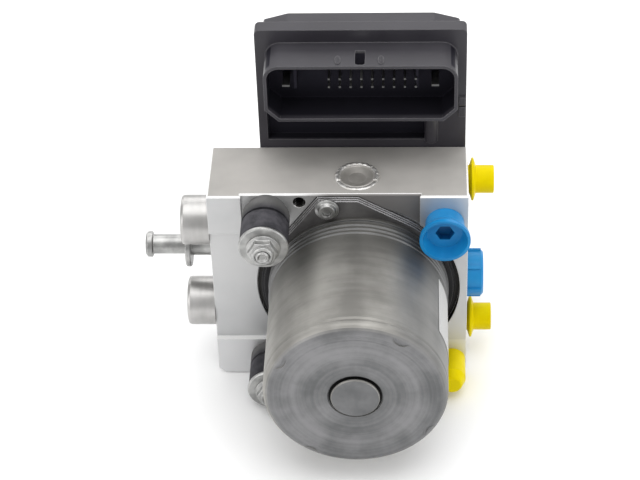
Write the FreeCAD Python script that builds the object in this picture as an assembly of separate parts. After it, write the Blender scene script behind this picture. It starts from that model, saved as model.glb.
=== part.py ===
import FreeCAD, Part
import math
import os

os.makedirs("parts", exist_ok=True)

V = FreeCAD.Vector

# Row frame: +Z up, +Y from the motor towards the control unit, origin at the centre of the block's base face.
# All sizes are in millimetres.

# Valve block
BLOCK_W = 100.0
BLOCK_D = 32.0
BLOCK_H = 90.5
FRONT = -BLOCK_D / 2
BACK = BLOCK_D / 2
LEFT = -BLOCK_W / 2
RIGHT = BLOCK_W / 2
CORNER = 2.6
EDGE_BREAK = 0.6
PAD_LOW_Z = 18.0
PAD_HIGH_Z = BLOCK_H - 18.1
BAND_DEPTH = 2.1
BAND_RIGHT = LEFT + 30.0

# Motor axis and can
MOTOR_X = 7.4
MOTOR_DROP = 0.25
MOTOR_Z = BLOCK_H / 2 - MOTOR_DROP
CAN_R = 34.6
CAN_WALL = 1.6
CAN_FRONT = -79.1
CAN_EDGE_R = 3.7
CAN_LINE_Y = 4.2
CAN_LINE_W = 1.8
CAN_LINE_DEPTH = 0.4
DISH_R = 30.4
DISH_DEPTH = 0.35
DISH_STEP = 2.6
BEAD_COUNT = 3
BEAD_PITCH = 2.3
BEAD_H = 0.5
BEAD_START = 1.6
RIM_OUT = 0.8
RIM_R = CAN_R + RIM_OUT
RIM_T = 1.6
BOSS_R = 9.2
BOSS_H = 0.8
BOSS_GROOVE_W = 1.1
BOSS_GROOVE_DEPTH = 0.9
STAKE_R = 30.4
STAKE_ANGLES = (58.0, 148.0, 238.0, 328.0)
STAKE_ARC_R = 4.4
STAKE_W = 1.2
STAKE_DEPTH = 0.5

# Motor flange plate, its ears, its screws and the pocket that it lies in
PLATE_T = 2.6
PLATE_STEP = 1.0
PLATE_LEDGE = 1.2
PLATE_R = CAN_R + 3.6
POCKET_ROOM = 0.5
POCKET_R = PLATE_R + 1.5
POCKET_DEPTH = 3.0
POCKET_FLOOR = FRONT + POCKET_DEPTH
PLATE_FRONT = POCKET_FLOOR - PLATE_T
EAR_TANGENTS = (59.5, 143.5)
SCREW_OFFSET = 11.4
SCREW_RISE = CAN_R + 4.8
SCREW_X = MOTOR_X - SCREW_OFFSET
SCREW_Z = MOTOR_Z + SCREW_RISE
EAR_TOP = SCREW_RISE + 4.5
SCREW_R = 2.0
SCREW_HOLE_ROOM = 0.3
SCREW_HEAD_R = 4.6
SCREW_HEAD_H = 2.6
SCREW_SOCKET_AF = 3.6
SCREW_DEEP = 7.0
RECESS_DEPTH = 1.6
RECESS_X1 = MOTOR_X + 24.1

# Magnets, armature, shaft and bearings
MAGNET_T = 5.0
MAGNET_Y0 = -72.0
MAGNET_Y1 = -36.0
MAGNET_ARC = 74.0
MAGNET_COUNT = 4
AIR_GAP = 2.0
SHAFT_R = 4.0
SHAFT_END_Y = -75.9
CORE_R = CAN_R - CAN_WALL - MAGNET_T - AIR_GAP
CORE_Y0 = -67.0
CORE_Y1 = -39.0
CORE_SLOTS = 10
SLOT_W = 4.4
SLOT_DEPTH = 9.0
COIL_OVERHANG = 3.6
COIL_IN_R = 12.5
COIL_SUNK = 1.2
COMM_R = 11.0
COMM_Y0 = -33.5
COMM_Y1 = -25.5
COMM_BARS = 10
COMM_CUT_W = 0.6
COMM_CUT_DEPTH = 0.8
BRUSH_W = 4.4
BRUSH_H = 5.4
BRUSH_LEN = 9.0
BRUSH_WEAR_GAP = 0.05
BRUSH_BOX_WALL = 1.3
BRUSH_BOX_START = 1.2
BRUSH_BOX_LEN = 12.8
HOLDER_T = 5.0
HOLDER_IN_R = COMM_R + 12.0
BUSH_R = 8.5
BUSH_LEN = 5.4
RUN = 0.04
BEARING_R = 11.0
BEARING_Y0 = PLATE_FRONT - 6.0
BEARING_Y1 = PLATE_FRONT
RACE_T = 1.9
BALL_R = 1.65
BALL_COUNT = 8
BALL_RUN = 0.05
CAGE_T = 1.4
CAGE_W = 1.8
HUB_R = 13.4
SHAFT_HOLE_ROOM = 1.5

# Pump
PUMP_Y = -3.6
THROW = 0.9
CAM_R = 5.5
CAM_W = 7.0
RING_R = 8.5
CHAMBER_R = 12.0
CHAMBER_END = 3.6
PISTON_R = 3.2
PISTON_LEN = 14.0
PISTON_GAP = 0.05
SLEEVE_GAP = 0.03
SLEEVE_R = 6.8
SLEEVE_Z0 = 14.0
SLEEVE_END = 2.0
OUTLET_R = 1.0
PLUG_R = 8.3
PLUG_SEAT = 6.0
PLUG_NECK = 4.0
PLUG_STEP = MOTOR_Z - PLUG_SEAT
SLEEVE_Z1 = PLUG_STEP - PLUG_NECK
PLUG_PROUD = 0.7
PLUG_SUNK = 0.1
PLUG_DISH_R = 3.5
PLUG_DISH_DEPTH = 1.3
PUMP_COIL_WIRE = 0.4
PUMP_COIL_R = 2.3

# Pressure accumulators on the left face
ACC_Y = -5.0
ACC_Z = (MOTOR_Z + 25.8, MOTOR_Z - 15.7)
ACC_BORE_R = 8.3
ACC_BORE_PAST = 2.3
ACC_BORE_LEN = MOTOR_X - POCKET_R + ACC_BORE_PAST - LEFT
CAP_R = 9.8
CAP_OUT = 11.3
CAP_WALL = 1.4
CAP_SKIRT = 2.5
ACC_PISTON_LEN = 7.0
ACC_PISTON_GAP = 0.05
ACC_COIL_R = 5.6
ACC_COIL_WIRE = 0.7

# Mounting pin on the left face
PIN_Y = 2.5
PIN_Z = MOTOR_Z + 7.3
PIN_R = 3.9
PIN_REACH = 27.4
PIN_NECK_R = 4.4
COLLAR_R = 9.0
COLLAR_X0 = 9.2
COLLAR_T = 2.2
HEAD_R = 5.15
HEAD_T = 2.5
PIN_THREAD_R = 3.0
PIN_THREAD_LEN = 10.0

# Rubber isolators with their studs
ISO_X = LEFT + 22.7
ISO_Z = (BLOCK_H - 7.9, 9.6)
ISO_R = 9.2
ISO_LEN = 19.4
ISO_GROOVE_Y = 8.2
ISO_GROOVE_W = 1.3
ISO_GROOVE_D = 1.6
ISO_ROOT_R = 7.8
ISO_ROOT_LEN = 0.8
WASHER_R = 9.5
WASHER_T = 1.7
NUT_AF = 10.0
NUT_H = 4.2
NUT_FLANGE_R = 6.4
NUT_COLLAR_R = 4.1
NUT_COLLAR_H = 1.1
STUD_R = 3.0
STUD_FREE = 0.7
STUD_DIMPLE_R = 2.0
STUD_DIMPLE_DEEP = 0.6
STUD_DEEP = 9.5
RECESS_X0 = ISO_X - ISO_R - 0.4

# Spare threaded hole beside the flange ear
HOLE_X = MOTOR_X - 22.0
HOLE_Z = BLOCK_H - 3.9
HOLE_R = 2.5
HOLE_LEN = 10.0

# Control unit, as wide as its four columns of coils need
VALVE_PITCH = 17.4
COIL_R = 8.4
COIL_SIDE_ROOM = 5.65
ECU_X1 = RIGHT - 0.7
ECU_X0 = ECU_X1 - 3 * VALVE_PITCH - 2 * COIL_R - 2 * COIL_SIDE_ROOM
ECU_MID = (ECU_X0 + ECU_X1) / 2
ECU_Z0 = 2.0
ECU_Z1 = BLOCK_H + 54.5
ECU_FLANGE = 5.8
ECU_FLANGE_RADIUS = 2.0
ECU_BACK = 40.0
ECU_WALL = 2.4
ECU_INSET = 2.4
ECU_TUB_RADIUS = 5.0
ECU_TOP_RADIUS = 2.5
ECU_SLANT_X = 10.0
ECU_SLANT_Z = 6.5
ECU_SLOPE_Y = 27.0
ECU_SLOPE_Z = ECU_Z1 - 14.0
COVER_T = 3.4
COVER_PANEL = 1.2
COVER_INSET = 13.0
BOARD_Y0 = 35.0
BOARD_T = 1.6
BOARD_ROOM = 0.3
GASKET_EDGE = 0.8
GASKET_W = 1.6
GASKET_T = 0.8
GASKET_TOP = BLOCK_H - 1.3
ECU_SCREW_X = (ECU_X0 + 9.8, ECU_X1 - 9.8)
ECU_SCREW_Z = (ECU_Z0 + 5.0, BLOCK_H - 5.5)
ECU_SCREW_R = 2.0
ECU_SCREW_DEEP = 7.5
ECU_HEAD_R = 3.4
ECU_HEAD_H = 2.4
ECU_HEAD_ROOM = 0.3
ECU_SOCKET_AF = 3.4
COLUMN_R = 4.2

# Connector socket on the control unit
SOCKET_X0 = ECU_X0 + 3.8
SOCKET_X1 = ECU_X1 - 3.6
SOCKET_Z1 = ECU_Z1 - 5.7
SOCKET_Z0 = SOCKET_Z1 - 25.2
SOCKET_Y0 = 0.2
SOCKET_FLOOR = 14.4
SOCKET_WALL = 1.3
SOCKET_RADIUS = 6.0
SOCKET_CHAMFER = 5.2
LATCH_W = 3.7
LATCH_Y0 = 1.3
LATCH_Y1 = 10.5
LATCH_RADIUS = 1.2
DIVIDER_X = (SOCKET_X0 + 11.8, SOCKET_X1 - 15.2)
DIVIDER_T = 1.2
DIVIDER_Y0 = 6.5
DIVIDER_Z0 = SOCKET_Z1 - 14.3
PIN_COLUMNS = 9
PIN_PITCH = 4.09
PIN_X0 = ECU_MID - 11.9
PIN_ROWS = (SOCKET_Z1 - 9.5, SOCKET_Z1 - 13.1)
PIN_TIP_Y = 5.5
PIN_SIDE = 0.8
TAB_X = (SOCKET_X0 + 8.2, SOCKET_X1 - 8.4)
TAB_Z = SOCKET_Z1 - 12.4
TAB_W = 2.8
TAB_T = 0.9

# Hollow under the socket, with the lip below it and the round rib at its right end
HOLLOW_X0 = ECU_X0 + 3.4
HOLLOW_X1 = ECU_X1 - 13.4
HOLLOW_Z0 = BLOCK_H + 3.6
HOLLOW_Z1 = SOCKET_Z0
HOLLOW_DEEP = 4.4
RIB_R = 2.6
RIB_SUNK = 0.7

# Two small lugs at the right edge of the flange beside the socket, each from and to a height above SOCKET_Z0
LUG_SPANS = ((-9.0, -4.3), (-3.6, 0.2))
LUG_W = 2.4
LUG_OUT = 0.9
LUG_EDGE = 0.3

# Solenoid valves
VALVE_X = [ECU_MID + (i - 1.5) * VALVE_PITCH for i in range(4)]
VALVE_Z = (MOTOR_Z + 21.0, MOTOR_Z - 21.0)
VALVE_R = 5.0
VALVE_Y0 = 5.0
DOME_R = 3.6
DOME_END = 31.5
DOME_ROOM = 1.2
DOME_WALL = 1.6
DOME_BORE_R = 2.9
DOME_BORE_Y0 = 13.0
ARMATURE_GAP = 0.05
ARMATURE_Y0 = 18.0
ARMATURE_Y1 = 28.0
TIP_R = 0.9
TIP_Y0 = 14.2
COIL_GAP = 0.15
COIL_Y0 = 19.2
COIL_Y1 = 33.0
BOBBIN_T = 1.4
BOBBIN_RIM = 0.9

# Transit plugs and caps in the hydraulic ports
SIDE_PLUGS = ((6.0, BLOCK_H - 8.5), (0.0, 16.3))
PORT_R = 4.6
PORT_LEN = 8.0
STEM_LEN = PORT_LEN - 1.0
STEM_TAPER = 1.4
PLUG_BODY_R = 5.5
PLUG_BODY_LEN = 10.2
PLUG_BODY_WALL = 1.3
PLUG_BODY_FLOOR = 4.0
PLUG_FLANGE_R = 8.4
PLUG_FLANGE_X0 = 0.6
PLUG_FLANGE_T = 2.6
PLUG_FLANGE_RIM = 0.7
RIBBED_Y = 0.0
RIBBED_Z = MOTOR_Z - 5.4
RIBBED_R = 9.1
RIBBED_LEN = 6.6
RIB_COUNT = 6
RIB_ANGLE = 38.0
RIB_W = 1.6
RIB_OUT = 0.8
FRONT_PLUG_X = RIGHT - 5.8
FRONT_PLUG_Z = 7.6
FRONT_PLUG_LEN = 16.0
FRONT_PLUG_TIP = 4.0
CUP_X = MOTOR_X + 33.6
CUP_Z = MOTOR_Z + 32.6
CUP_ROOT_R = 7.4
CUP_RIM_R = 9.7
CUP_LEN = 11.0
CUP_RIM_T = 1.6
CUP_WALL = 1.1
CUP_FLOOR = 6.0
CUP_HEX_AF = 6.4
CUP_HEX_DEEP = 3.5


def box(x0, x1, y0, y1, z0, z1):
    return Part.makeBox(x1 - x0, y1 - y0, z1 - z0, V(x0, y0, z0))


def rod(radius, start, end):
    along = V(*end) - V(*start)
    return Part.makeCylinder(radius, along.Length, V(*start), along)


def rod_y(radius, y0, y1, x, z):
    return rod(radius, (x, y0, z), (x, y1, z))


def tube_y(outer, inner, y0, y1, x, z):
    return rod_y(outer, y0, y1, x, z).cut(rod_y(inner, y0 - 1, y1 + 1, x, z))


def turned(profile, origin, direction):
    points = [V(radius, 0, height) for radius, height in profile]
    face = Part.Face(Part.makePolygon(points + [points[0]]))
    solid = face.revolve(V(0, 0, 0), V(0, 0, 1), 360)
    solid.Placement = FreeCAD.Placement(V(*origin), FreeCAD.Rotation(V(0, 0, 1), V(*direction)))
    return solid


def hexagon(across_flats, origin, direction, height):
    corner = across_flats / math.sqrt(3)
    turns = [math.radians(60 * i) for i in range(7)]
    points = [V(corner * math.cos(turn), corner * math.sin(turn), 0) for turn in turns]
    solid = Part.Face(Part.makePolygon(points)).extrude(V(0, 0, height))
    solid.Placement = FreeCAD.Placement(V(*origin), FreeCAD.Rotation(V(0, 0, 1), V(*direction)))
    return solid


def spring(radius, wire, length, turns, origin, direction):
    pitch = length / turns
    path = Part.Wire(Part.makeHelix(pitch, length, radius).Edges)
    ring = Part.Wire(Part.makeCircle(wire, V(radius, 0, 0), V(0, 1, pitch / (2 * math.pi * radius))))
    solid = path.makePipeShell([ring], True, True)
    solid.Placement = FreeCAD.Placement(V(*origin), FreeCAD.Rotation(V(0, 0, 1), V(*direction)))
    return solid


def plate_xz(points, y0, y1):
    corners = [V(x, y0, z) for x, z in points]
    return Part.Face(Part.makePolygon(corners + [corners[0]])).extrude(V(0, y1 - y0, 0))


# Edges that run along y between two heights.
def edges_along_y(shape, low=-1000, high=1000):
    edges = [edge for edge in shape.Edges if abs(edge.tangentAt(edge.FirstParameter).y) > 0.99]
    return [edge for edge in edges if low < edge.CenterOfMass.z < high]


def rounded_xz(x0, x1, z0, z1, radius, y0, y1):
    solid = box(x0, x1, y0, y1, z0, z1)
    return solid.makeFillet(radius, edges_along_y(solid))


def save(name, shape):
    shape.exportStep("parts/" + name + ".step")


# The block is one machined piece: seats, motor pocket, pump and accumulator bores, valve bores and ports.
def valve_block():
    block = box(LEFT, RIGHT, FRONT, BACK, 0, BLOCK_H)
    block = block.makeChamfer(CORNER, edges_along_y(block, high=1))
    block = block.cut(box(LEFT - 1, BAND_RIGHT, FRONT - 1, FRONT + BAND_DEPTH, PAD_LOW_Z, PAD_HIGH_Z))
    block = block.cut(box(RECESS_X0, RECESS_X1, FRONT - 1, FRONT + RECESS_DEPTH, PAD_HIGH_Z, BLOCK_H + 1))
    block = block.makeChamfer(EDGE_BREAK, [e for e in block.Edges if e.BoundBox.ZMin > BLOCK_H - 0.01])
    block = block.cut(rod_y(POCKET_R, FRONT - 1, POCKET_FLOOR, MOTOR_X, MOTOR_Z))
    for side in (1, -1):
        block = block.cut(ear(side, POCKET_ROOM, FRONT - 1, POCKET_FLOOR))
    for x, z in motor_screw_places():
        block = block.cut(rod_y(SCREW_R, POCKET_FLOOR - 1, POCKET_FLOOR + SCREW_DEEP, x, z))
    block = block.cut(rod_y(CHAMBER_R, POCKET_FLOOR - 1, CHAMBER_END, MOTOR_X, MOTOR_Z))
    block = block.cut(rod(SLEEVE_R, (MOTOR_X, PUMP_Y, -1), (MOTOR_X, PUMP_Y, BLOCK_H + 1)))
    for up in (1, -1):
        step = (MOTOR_X, PUMP_Y, MOTOR_Z + up * PLUG_STEP)
        block = block.cut(rod(PLUG_R, step, (MOTOR_X, PUMP_Y, MOTOR_Z + up * BLOCK_H)))
    for z in ACC_Z:
        block = block.cut(rod(ACC_BORE_R, (LEFT - 1, ACC_Y, z), (LEFT + ACC_BORE_LEN, ACC_Y, z)))
    block = block.cut(rod(PIN_THREAD_R, (LEFT - 1, PIN_Y, PIN_Z), (LEFT + PIN_THREAD_LEN, PIN_Y, PIN_Z)))
    for z in ISO_Z:
        block = block.cut(rod_y(STUD_R, FRONT - 1, FRONT + STUD_DEEP, ISO_X, z))
    block = block.cut(rod_y(HOLE_R, FRONT - 1, FRONT + RECESS_DEPTH + HOLE_LEN, HOLE_X, HOLE_Z))
    for x, z in valve_places():
        block = block.cut(rod_y(VALVE_R, VALVE_Y0, BACK + 1, x, z))
    for x in ECU_SCREW_X:
        for z in ECU_SCREW_Z:
            block = block.cut(rod_y(ECU_SCREW_R, BACK - ECU_SCREW_DEEP - 0.5, BACK + 1, x, z))
    for y, z in SIDE_PLUGS + ((RIBBED_Y, RIBBED_Z),):
        block = block.cut(rod(PORT_R, (RIGHT - PORT_LEN, y, z), (RIGHT + 1, y, z)))
    for x, z in ((FRONT_PLUG_X, FRONT_PLUG_Z), (CUP_X, CUP_Z)):
        block = block.cut(rod_y(PORT_R, FRONT - 1, FRONT + PORT_LEN, x, z))
    return block


def motor_screw_places():
    return ((SCREW_X, SCREW_Z), (2 * MOTOR_X - SCREW_X, 2 * MOTOR_Z - SCREW_Z))


# Ear of the flange plate: two flats that touch the round plate, and a level top. The second ear is
# the first one turned half a turn about the motor axis.
def ear(side, grow, y0, y1):
    reach = PLATE_R + grow
    top = EAR_TOP + grow
    flats = [math.radians(angle) for angle in EAR_TANGENTS]
    touch = [(reach * math.cos(a), reach * math.sin(a)) for a in flats]
    corner = [((reach - top * math.sin(a)) / math.cos(a), top) for a in flats]
    outline = [touch[0], corner[0], corner[1], touch[1], (0, 0)]
    return plate_xz([(MOTOR_X + side * x, MOTOR_Z + side * z) for x, z in outline], y0, y1)


def valve_places():
    return [(x, z) for z in VALVE_Z for x in VALVE_X]


# Cup plug closing one pump bore: a raised rim, a sloped shoulder outside it and a dish with a flat floor.
def pump_plug(up):
    top = BLOCK_H - MOTOR_Z + PLUG_PROUD if up > 0 else MOTOR_Z - PLUG_SUNK
    floor = top - PLUG_DISH_DEPTH
    profile = [(0, SLEEVE_Z1), (SLEEVE_R, SLEEVE_Z1), (SLEEVE_R, PLUG_STEP), (PLUG_R, PLUG_STEP)]
    profile += [(PLUG_R, top - 1.7), (PLUG_R - 0.8, top - 1.2)]
    profile += [(PLUG_R - 1.0, top - 0.2), (PLUG_R - 1.3, top)]
    profile += [(PLUG_R - 1.8, top), (PLUG_R - 2.2, top - 0.3), (PLUG_DISH_R, floor), (0, floor)]
    return turned(profile, (MOTOR_X, PUMP_Y, MOTOR_Z), (0, 0, up))


# Hardened pump sleeve, open towards the shaft, with an outlet hole in its end wall.
def pump_sleeve(up):
    bore = PISTON_R + SLEEVE_GAP
    profile = [(bore, SLEEVE_Z0), (SLEEVE_R - 0.6, SLEEVE_Z0)]
    profile += [(SLEEVE_R, SLEEVE_Z0 + 1), (SLEEVE_R, SLEEVE_Z1)]
    profile += [(OUTLET_R, SLEEVE_Z1), (OUTLET_R, SLEEVE_Z1 - SLEEVE_END), (bore, SLEEVE_Z1 - SLEEVE_END)]
    return turned(profile, (MOTOR_X, PUMP_Y, MOTOR_Z), (0, 0, up))


def pump_piston_start():
    return RING_R + THROW + PISTON_GAP


# Pump piston with a domed foot that meets the ring and a spring spigot at its other end.
def pump_piston(up):
    foot = pump_piston_start()
    end = foot + PISTON_LEN
    profile = [(0, foot), (PISTON_R - 0.8, foot), (PISTON_R, foot + 0.8), (PISTON_R, end)]
    profile += [(1.6, end), (1.3, end + 1.6), (0, end + 1.6)]
    return turned(profile, (MOTOR_X, PUMP_Y, MOTOR_Z), (0, 0, up))


def pump_spring(up):
    start = pump_piston_start() + PISTON_LEN + PUMP_COIL_WIRE + 0.05
    length = SLEEVE_Z1 - SLEEVE_END - PUMP_COIL_WIRE - 0.05 - start
    origin = (MOTOR_X, PUMP_Y, MOTOR_Z + up * start)
    return spring(PUMP_COIL_R, PUMP_COIL_WIRE, length, 4, origin, (0, 0, up))


# Drawn steel can: end boss in its groove, dished face, rounded edge, a rolled line behind the edge,
# and beads and a rim at the root, where it meets the flange plate.
def motor_can():
    length = PLATE_FRONT - CAN_FRONT - BOSS_H
    lip = BOSS_R + BOSS_GROOVE_W
    profile = [(0, -BOSS_H), (BOSS_R - 0.4, -BOSS_H), (BOSS_R, -BOSS_H + 0.4), (BOSS_R, BOSS_GROOVE_DEPTH)]
    profile += [(lip, BOSS_GROOVE_DEPTH), (lip, DISH_DEPTH), (DISH_R - DISH_STEP, DISH_DEPTH)]
    profile += [(DISH_R - DISH_STEP + 0.6, DISH_DEPTH / 2), (DISH_R - 0.6, DISH_DEPTH / 2), (DISH_R, 0)]
    centre = CAN_R - CAN_EDGE_R
    for angle in (0, 15, 30, 45, 60, 75, 90):
        turn = math.radians(angle)
        profile.append((centre + CAN_EDGE_R * math.sin(turn), CAN_EDGE_R - CAN_EDGE_R * math.cos(turn)))
    sunk = CAN_R - CAN_LINE_DEPTH
    far = CAN_LINE_Y + CAN_LINE_W
    profile += [(CAN_R, CAN_LINE_Y), (sunk, CAN_LINE_Y + 0.4), (sunk, far - 0.7), (CAN_R, far)]
    for i in reversed(range(BEAD_COUNT)):
        start = length - RIM_T - BEAD_START - i * BEAD_PITCH
        profile += [(CAN_R, start - 1.1), (CAN_R + BEAD_H, start - 0.8)]
        profile += [(CAN_R + BEAD_H, start - 0.3), (CAN_R, start)]
    profile += [(CAN_R, length - RIM_T), (RIM_R, length - RIM_T), (RIM_R, length), (CAN_R - CAN_WALL, length)]
    floor = CAN_WALL + DISH_DEPTH
    profile += [(CAN_R - CAN_WALL, floor + 1.6), (CAN_R - CAN_WALL - 1.6, floor), (0, floor)]
    can = turned(profile, (MOTOR_X, CAN_FRONT + BOSS_H, MOTOR_Z), (0, 1, 0))
    for angle in STAKE_ANGLES:
        can = can.cut(stake_mark(math.radians(angle)))
    return can


# Crescent left by the tool that staked the can's end.
def stake_mark(turn):
    discs = []
    for reach in (STAKE_R + STAKE_ARC_R, STAKE_R + STAKE_ARC_R + STAKE_W):
        x = MOTOR_X + reach * math.cos(turn)
        z = MOTOR_Z + reach * math.sin(turn)
        discs.append(rod_y(STAKE_ARC_R, CAN_FRONT, CAN_FRONT + BOSS_H + STAKE_DEPTH, x, z))
    return discs[0].cut(discs[1])


# Motor flange: a stepped plate with two ears and a hub for the ball bearing.
def motor_flange():
    ledge = PLATE_FRONT + PLATE_LEDGE
    plate = rod_y(PLATE_R, ledge, POCKET_FLOOR, MOTOR_X, MOTOR_Z)
    plate = plate.fuse(rod_y(PLATE_R - PLATE_STEP, PLATE_FRONT, ledge, MOTOR_X, MOTOR_Z))
    for side in (1, -1):
        plate = plate.fuse(ear(side, 0, ledge, POCKET_FLOOR))
        plate = plate.fuse(ear(side, -PLATE_STEP, PLATE_FRONT, ledge))
    plate = plate.fuse(rod_y(HUB_R, BEARING_Y0, PLATE_FRONT, MOTOR_X, MOTOR_Z))
    plate = plate.cut(rod_y(BEARING_R, BEARING_Y0 - 1, BEARING_Y1, MOTOR_X, MOTOR_Z))
    plate = plate.cut(rod_y(SHAFT_R + SHAFT_HOLE_ROOM, BEARING_Y0 - 1, POCKET_FLOOR + 1, MOTOR_X, MOTOR_Z))
    for x, z in motor_screw_places():
        plate = plate.cut(rod_y(SCREW_R + SCREW_HOLE_ROOM, PLATE_FRONT - 1, POCKET_FLOOR + 1, x, z))
    return plate.removeSplitter()


# Round-headed screw with a six-point recess, drawn as a hexagonal socket.
def motor_screws():
    screws = []
    for x, z in motor_screw_places():
        head = turned([(0, 0), (SCREW_HEAD_R, 0), (SCREW_HEAD_R, 0.8), (3.6, 1.3), (3.1, SCREW_HEAD_H),
                       (0, SCREW_HEAD_H)], (x, PLATE_FRONT, z), (0, -1, 0))
        shank = rod_y(SCREW_R, PLATE_FRONT, POCKET_FLOOR + SCREW_DEEP - 1, x, z)
        socket = hexagon(SCREW_SOCKET_AF, (x, PLATE_FRONT - SCREW_HEAD_H - 1, z), (0, 1, 0), SCREW_HEAD_H)
        screws.append(head.fuse(shank).cut(socket).removeSplitter())
    return Part.makeCompound(screws)


# Curved ferrite magnets bonded inside the can.
def magnets():
    outer = CAN_R - CAN_WALL
    ring = tube_y(outer, outer - MAGNET_T, MAGNET_Y0, MAGNET_Y1, MOTOR_X, MOTOR_Z)
    reach = 2 * outer
    half = math.radians(MAGNET_ARC / 2)
    pieces = []
    for i in range(MAGNET_COUNT):
        wedge = plate_xz([(0, 0), (reach * math.cos(half), reach * math.sin(half)),
                          (reach * math.cos(half), -reach * math.sin(half))], MAGNET_Y0 - 1, MAGNET_Y1 + 1)
        wedge.rotate(V(0, 0, 0), V(0, 1, 0), 45 + i * 360 / MAGNET_COUNT)
        wedge.translate(V(MOTOR_X, 0, MOTOR_Z))
        pieces.append(ring.common(wedge))
    return Part.makeCompound(pieces)


# One turning: motor shaft with the eccentric journal at its pump end.
def shaft():
    straight = rod_y(SHAFT_R, SHAFT_END_Y, PUMP_Y, MOTOR_X, MOTOR_Z)
    cam = rod_y(CAM_R, PUMP_Y - CAM_W / 2, PUMP_Y + CAM_W / 2, MOTOR_X + THROW, MOTOR_Z)
    return straight.fuse(cam).removeSplitter()


def eccentric_ring():
    return tube_y(RING_R, CAM_R, PUMP_Y - CAM_W / 2, PUMP_Y + CAM_W / 2, MOTOR_X + THROW, MOTOR_Z)


# Stack of laminations with open winding slots.
def armature_core():
    core = tube_y(CORE_R, SHAFT_R, CORE_Y0, CORE_Y1, MOTOR_X, MOTOR_Z)
    for i in range(CORE_SLOTS):
        slot = box(CORE_R - SLOT_DEPTH, CORE_R + 1, CORE_Y0 - 1, CORE_Y1 + 1, -SLOT_W / 2, SLOT_W / 2)
        slot.rotate(V(0, 0, 0), V(0, 1, 0), i * 360 / CORE_SLOTS)
        slot.translate(V(MOTOR_X, 0, MOTOR_Z))
        core = core.cut(slot)
    return core


# Copper windings: bars in the slots and a ring of end turns at each end.
def windings():
    top = CORE_R - COIL_SUNK
    low = CORE_R - SLOT_DEPTH
    copper = tube_y(top, COIL_IN_R, CORE_Y0 - COIL_OVERHANG, CORE_Y0, MOTOR_X, MOTOR_Z)
    copper = copper.fuse(tube_y(top, COIL_IN_R, CORE_Y1, CORE_Y1 + COIL_OVERHANG, MOTOR_X, MOTOR_Z))
    for i in range(CORE_SLOTS):
        bar = box(low, top - COIL_SUNK / 2, CORE_Y0 - 0.5, CORE_Y1 + 0.5, -SLOT_W / 2, SLOT_W / 2)
        bar.rotate(V(0, 0, 0), V(0, 1, 0), i * 360 / CORE_SLOTS)
        bar.translate(V(MOTOR_X, 0, MOTOR_Z))
        copper = copper.fuse(bar)
    return copper.removeSplitter()


def commutator():
    drum = tube_y(COMM_R, SHAFT_R, COMM_Y0, COMM_Y1, MOTOR_X, MOTOR_Z)
    for i in range(COMM_BARS):
        half = COMM_CUT_W / 2
        cut = box(COMM_R - COMM_CUT_DEPTH, COMM_R + 1, COMM_Y0 - 1, COMM_Y1 + 1, -half, half)
        cut.rotate(V(0, 0, 0), V(0, 1, 0), (i + 0.5) * 360 / COMM_BARS)
        cut.translate(V(MOTOR_X, 0, MOTOR_Z))
        drum = drum.cut(cut)
    return drum


def beside_drum(side, start, length, height, width):
    near = COMM_R + start
    x0, x1 = (near, near + length) if side > 0 else (-near - length, -near)
    mid = (COMM_Y0 + COMM_Y1) / 2
    solid = box(MOTOR_X + x0, MOTOR_X + x1, mid - width / 2, mid + width / 2, -height / 2, height / 2)
    solid.translate(V(0, 0, MOTOR_Z))
    return solid


# Moulded ring that carries the two carbon brushes in box guides.
def brush_holder():
    mid = (COMM_Y0 + COMM_Y1) / 2
    ring = tube_y(CAN_R - CAN_WALL, HOLDER_IN_R, mid - HOLDER_T / 2, mid + HOLDER_T / 2, MOTOR_X, MOTOR_Z)
    wall = 2 * BRUSH_BOX_WALL
    for side in (1, -1):
        ring = ring.fuse(beside_drum(side, BRUSH_BOX_START, BRUSH_BOX_LEN, BRUSH_H + wall, BRUSH_W + wall))
    for side in (1, -1):
        ring = ring.cut(beside_drum(side, BRUSH_BOX_START - 1, BRUSH_BOX_LEN + 1, BRUSH_H, BRUSH_W))
    return ring.removeSplitter()


def brushes():
    drum = rod_y(COMM_R + BRUSH_WEAR_GAP, COMM_Y0 - 1, COMM_Y1 + 1, MOTOR_X, MOTOR_Z)
    blocks = [beside_drum(side, -1, BRUSH_LEN + 1, BRUSH_H, BRUSH_W) for side in (1, -1)]
    return Part.makeCompound([block.cut(drum) for block in blocks])


def end_bush():
    y0 = CAN_FRONT + BOSS_H + CAN_WALL + DISH_DEPTH
    return tube_y(BUSH_R, SHAFT_R + RUN, y0, y0 + BUSH_LEN, MOTOR_X, MOTOR_Z)


def ball_circle():
    return (SHAFT_R + RACE_T + BEARING_R - RACE_T) / 2


# Bearing ring with a rolling groove that is a little larger than the balls.
def bearing_race(outer, inner):
    ring = tube_y(outer, inner, BEARING_Y0, BEARING_Y1, MOTOR_X, MOTOR_Z)
    mid = (BEARING_Y0 + BEARING_Y1) / 2
    groove = Part.makeTorus(ball_circle(), BALL_R + BALL_RUN, V(MOTOR_X, mid, MOTOR_Z), V(0, 1, 0))
    return ring.cut(groove)


# Balls and the flat cage that spaces them.
def bearing_balls():
    mid = (BEARING_Y0 + BEARING_Y1) / 2
    circle = ball_circle()
    cage = tube_y(circle + CAGE_W / 2, circle - CAGE_W / 2, mid - CAGE_T / 2, mid + CAGE_T / 2,
                  MOTOR_X, MOTOR_Z)
    balls = []
    for i in range(BALL_COUNT):
        angle = math.radians(i * 360 / BALL_COUNT)
        centre = V(MOTOR_X + circle * math.cos(angle), mid, MOTOR_Z + circle * math.sin(angle))
        cage = cage.cut(Part.makeSphere(BALL_R + BALL_RUN, centre))
        balls.append(Part.makeSphere(BALL_R, centre))
    return Part.makeCompound(balls + cage.Solids)


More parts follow.
